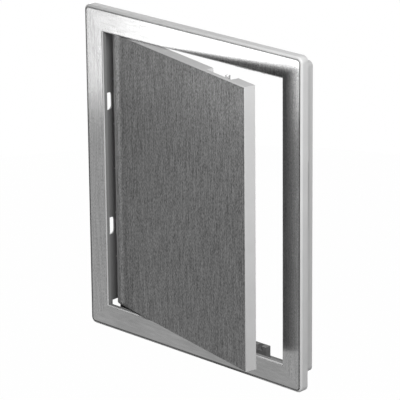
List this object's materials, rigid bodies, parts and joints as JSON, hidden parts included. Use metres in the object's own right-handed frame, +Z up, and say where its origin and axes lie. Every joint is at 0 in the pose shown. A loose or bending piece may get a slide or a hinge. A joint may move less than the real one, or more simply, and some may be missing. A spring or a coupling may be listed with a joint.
{
  "type": "plastic access door",
  "caption": "Upright wall access door: flanged frame with a rear collar and a ribbed leaf on two side hinge pins, held shut by snap catches, with a brushed metal-look front.",
  "frame": {"origin": "middle of the opening, in the plane of the wall's face, which the rear edge of the flange's rim rests on", "axes": "+X to the right seen from the room, +Y into the wall, +Z up; the hinges are on the left, at -X"},
  "size_m": [0.272, 0.0666, 0.322],
  "materials": {
    "silver_plastic": "satin silver-grey moulded plastic",
    "leaf_plastic": "satin silver-grey moulded plastic",
    "brushed_film": "metal-look film with a fine upright brushed grain",
    "leaf_film": "metal-look film with a fine upright brushed grain",
    "bush_plastic": "plain dark grey moulded plastic",
    "catch_plastic": "plain dark grey moulded plastic",
    "pin_steel": "turned steel",
    "latch_metal": "polished"
  },
  "bodies": {
    "frame": {"flange_frame": "silver_plastic", "flange_brushed_film": "brushed_film", "wall_collar": "silver_plastic", "top_hinge_bush": "bush_plastic", "bottom_hinge_bush": "bush_plastic", "top_catch_clip": "catch_plastic", "bottom_catch_clip": "catch_plastic"},
    "leaf": {"leaf_shell": "leaf_plastic", "leaf_brushed_film": "leaf_film", "top_hinge_pin": "pin_steel", "bottom_hinge_pin": "pin_steel", "top_latch_pin": "latch_metal", "bottom_latch_pin": "latch_metal"}
  },
  "joints": [
    {"name": "leaf_hinge", "type": "hinge", "parent": "frame", "child": "leaf", "pos_m": [-0.1017, 0.0072, 0], "axis": [0, 0, -1], "range_deg": [-12.5, 77.5]}
  ]
}
